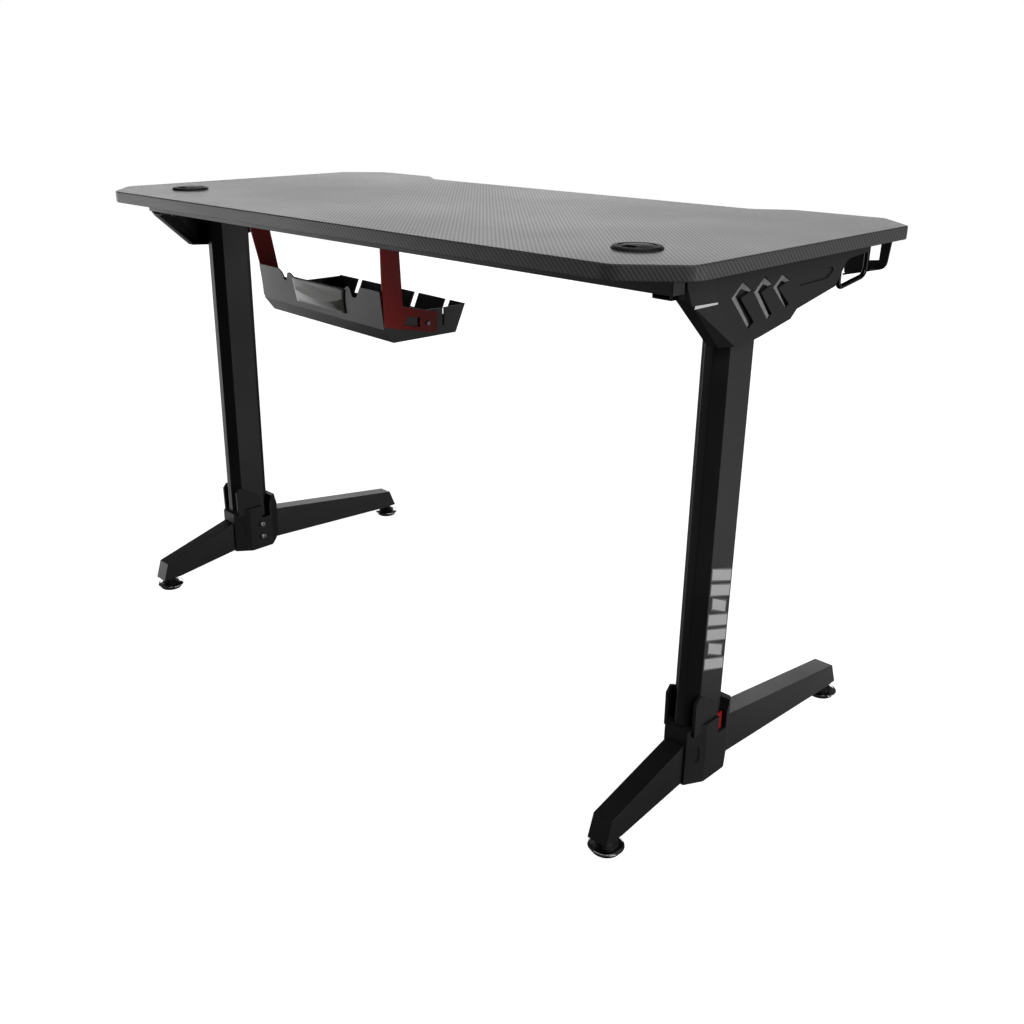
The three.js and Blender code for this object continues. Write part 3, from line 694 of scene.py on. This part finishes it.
def make_claws():
    """On each cover: three knurled strips as one piece, and a dark plate behind them."""
    for label, side in SIDES.items():
        face_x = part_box(f"side_cover_{label}")[0 if side < 0 else 1][0]
        points, faces = [], []
        for copy in range(len(CLAW_COPIES)):
            more, rings = claw_insert(side, copy, face_x)
            faces += [[len(points) + k for k in ring] for ring in rings]
            points += more
        add_piece(f"claw_knurl_{label}", points, faces, "desk_frame", "mesh_plastic",
                  f"claw_mesh_{label}", smooth=10)
        count = len(CLAW_BACKING)
        points = [
            Vector((face_x - side * depth * MM, y * MM + DESK_SHIFT, z * MM))
            for depth in BACKING_DEPTHS for y, z in CLAW_BACKING
        ]
        faces = [list(range(count)), list(range(count, 2 * count))]
        faces += [[k, (k + 1) % count, count + (k + 1) % count, count + k] for k in range(count)]
        add_piece(f"claw_backing_{label}", points, faces, "desk_frame", "black_plastic", smooth=10)


def plate(outline, level, thickness, place):
    """A flat outline with a soft rim, laid out by place(u, v, height)."""
    middle = Vector((sum(p[0] for p in outline), sum(p[1] for p in outline))) / len(outline)
    rings = [(0.0, 1.0), (thickness * 0.7, 1.0), (thickness, 0.985)]
    points, faces = [], []
    count = len(outline)
    for height, size in rings:
        for p in outline:
            u, v = middle + (Vector(p) - middle) * size
            points.append(place(u, v, level + height))
    for ring in range(len(rings) - 1):
        base = ring * count
        for i in range(count):
            j = (i + 1) % count
            faces.append([base + i, base + j, base + count + j, base + count + i])
    faces.append(list(range(count)))
    faces.append(list(range((len(rings) - 1) * count, len(rings) * count)))
    return points, faces


def bowed(first, last, bulge, steps=10):
    """Points from first to last on an arc-like curve; bulge pushes its middle sideways."""
    first, last = Vector(first), Vector(last)
    run = last - first
    aside = Vector((-run.y, run.x)).normalized()
    return [first + run * (i / steps) + aside * bulge * 4 * (i / steps) * (1 - i / steps)
            for i in range(steps)]


TRAY_TURN = math.radians(-3.8)  # how far the tray hangs askew
WALL_LEAN = 0.129  # how far its rear wall leans for each unit of height
PANEL_THICKNESS = 1.5 * MM


def make_tray_panel():
    """A smoked panel in the tray's rear wall, and on it a thin plate with a curved lower edge in a paler
    copy of the smoked plastic: painted reflection.
    """
    low, high = (Vector(corner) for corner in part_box("tray_panel"))
    wide, tall = (high.x - low.x), (high.z - low.z)
    top_left = Vector((low.x, high.y, high.z))

    def on_wall(u, v, height):
        along = u * wide
        down = (1 - v) * tall
        return Vector((
            top_left.x + along + math.sin(TRAY_TURN) * (height - WALL_LEAN * down),
            top_left.y + math.tan(TRAY_TURN) * along - WALL_LEAN * down + height - PANEL_THICKNESS,
            high.z - down,
        ))

    panel = bowed((0.0, 1.0), (0.03, 0.0), 0.02) + bowed((0.03, 0.0), (0.965, 0.0), 0.0)
    panel += bowed((0.965, 0.0), (1.0, 1.0), 0.0) + bowed((1.0, 1.0), (0.0, 1.0), 0.0)
    reflection_outline = bowed((0.03, 0.97), (0.045, 0.62), 0.01) + bowed((0.045, 0.62), (0.96, 0.5), -0.27, 20)
    reflection_outline += bowed((0.96, 0.5), (0.975, 0.97), 0.0) + bowed((0.975, 0.97), (0.03, 0.97), 0.0)
    points, faces = plate(panel, 0.0, 1.4 * MM, on_wall)
    add_piece("tray_panel_base", points, faces, "desk_frame", "smoked_plastic", "tray_panel")
    # The thin plate's paler colour is painted reflection, not a glossier finish.
    points, faces = plate(reflection_outline, PANEL_THICKNESS, 0.4 * MM, on_wall)
    add_piece("tray_panel_reflection_plate", points, faces, "desk_frame", "smoked_plastic", "tray_panel",
              look="smoked_painted_reflection")


# The printed mark on the column at -X: leaning bars, each on a slightly wider grey keyline. Millimetres.
BARS = {"count": 7, "low": 198, "pitch": 21.5, "height": 15, "half_width": 22, "lean": 7}
NARROW = 0.72  # every third bar's share of the full width
BAR_DEPTH = 0.24
KEYLINE = {"grow": 1.9, "depth": 0.1}
PRINT_GAP = 0.02


def bar_outline(index, grow):
    """One bar's four corners as [across, up] from the bar's own foot, grown outwards."""
    half, lean, tall = BARS["half_width"], BARS["lean"], BARS["height"]
    if index % 3 == 1:
        half *= NARROW
    low = [(-half - grow, -lean - grow), (half + grow, lean - grow)]
    high = [(half + grow, tall + lean + grow), (-half - grow, tall - lean + grow)]
    return low + high


def print_bars(name, grow, depth, look):
    low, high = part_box("column_left")
    face_x, middle_y = low[0], (low[1] + high[1]) / 2
    points, faces = [], []
    for index in range(BARS["count"]):
        foot = BARS["low"] + index * BARS["pitch"]

        def on_column(u, v, height):
            return Vector((face_x - PRINT_GAP * MM - height, middle_y + u * MM, (foot + v) * MM))

        more, rings = plate(bar_outline(index, grow), 0.0, depth * MM, on_column)
        faces += [[len(points) + k for k in ring] for ring in rings]
        points += more
    add_piece(name, points, faces, "desk_frame", "silver_foil", look=look)


def make_bars():
    print_bars("column_bars", 0, BAR_DEPTH, "white_print")
    print_bars("column_bar_keylines", KEYLINE["grow"], KEYLINE["depth"], "grey_print")


# ---- the scene -----------------------------------------------------------------------------

finishes = make_finishes()
make_camera()
make_stage()
make_light()

SLOT_OF = {row["node"]: row["material_slot"] for row in frame["record"]["subparts"]}
for name, piece in NODES.items():
    piece.data.materials.clear()
    piece.data.materials.append(finishes[SLOT_OF[name]])
    shape_edges(piece, name)

make_claws()
make_levellers()
make_screws()
make_tray_panel()
make_bars()
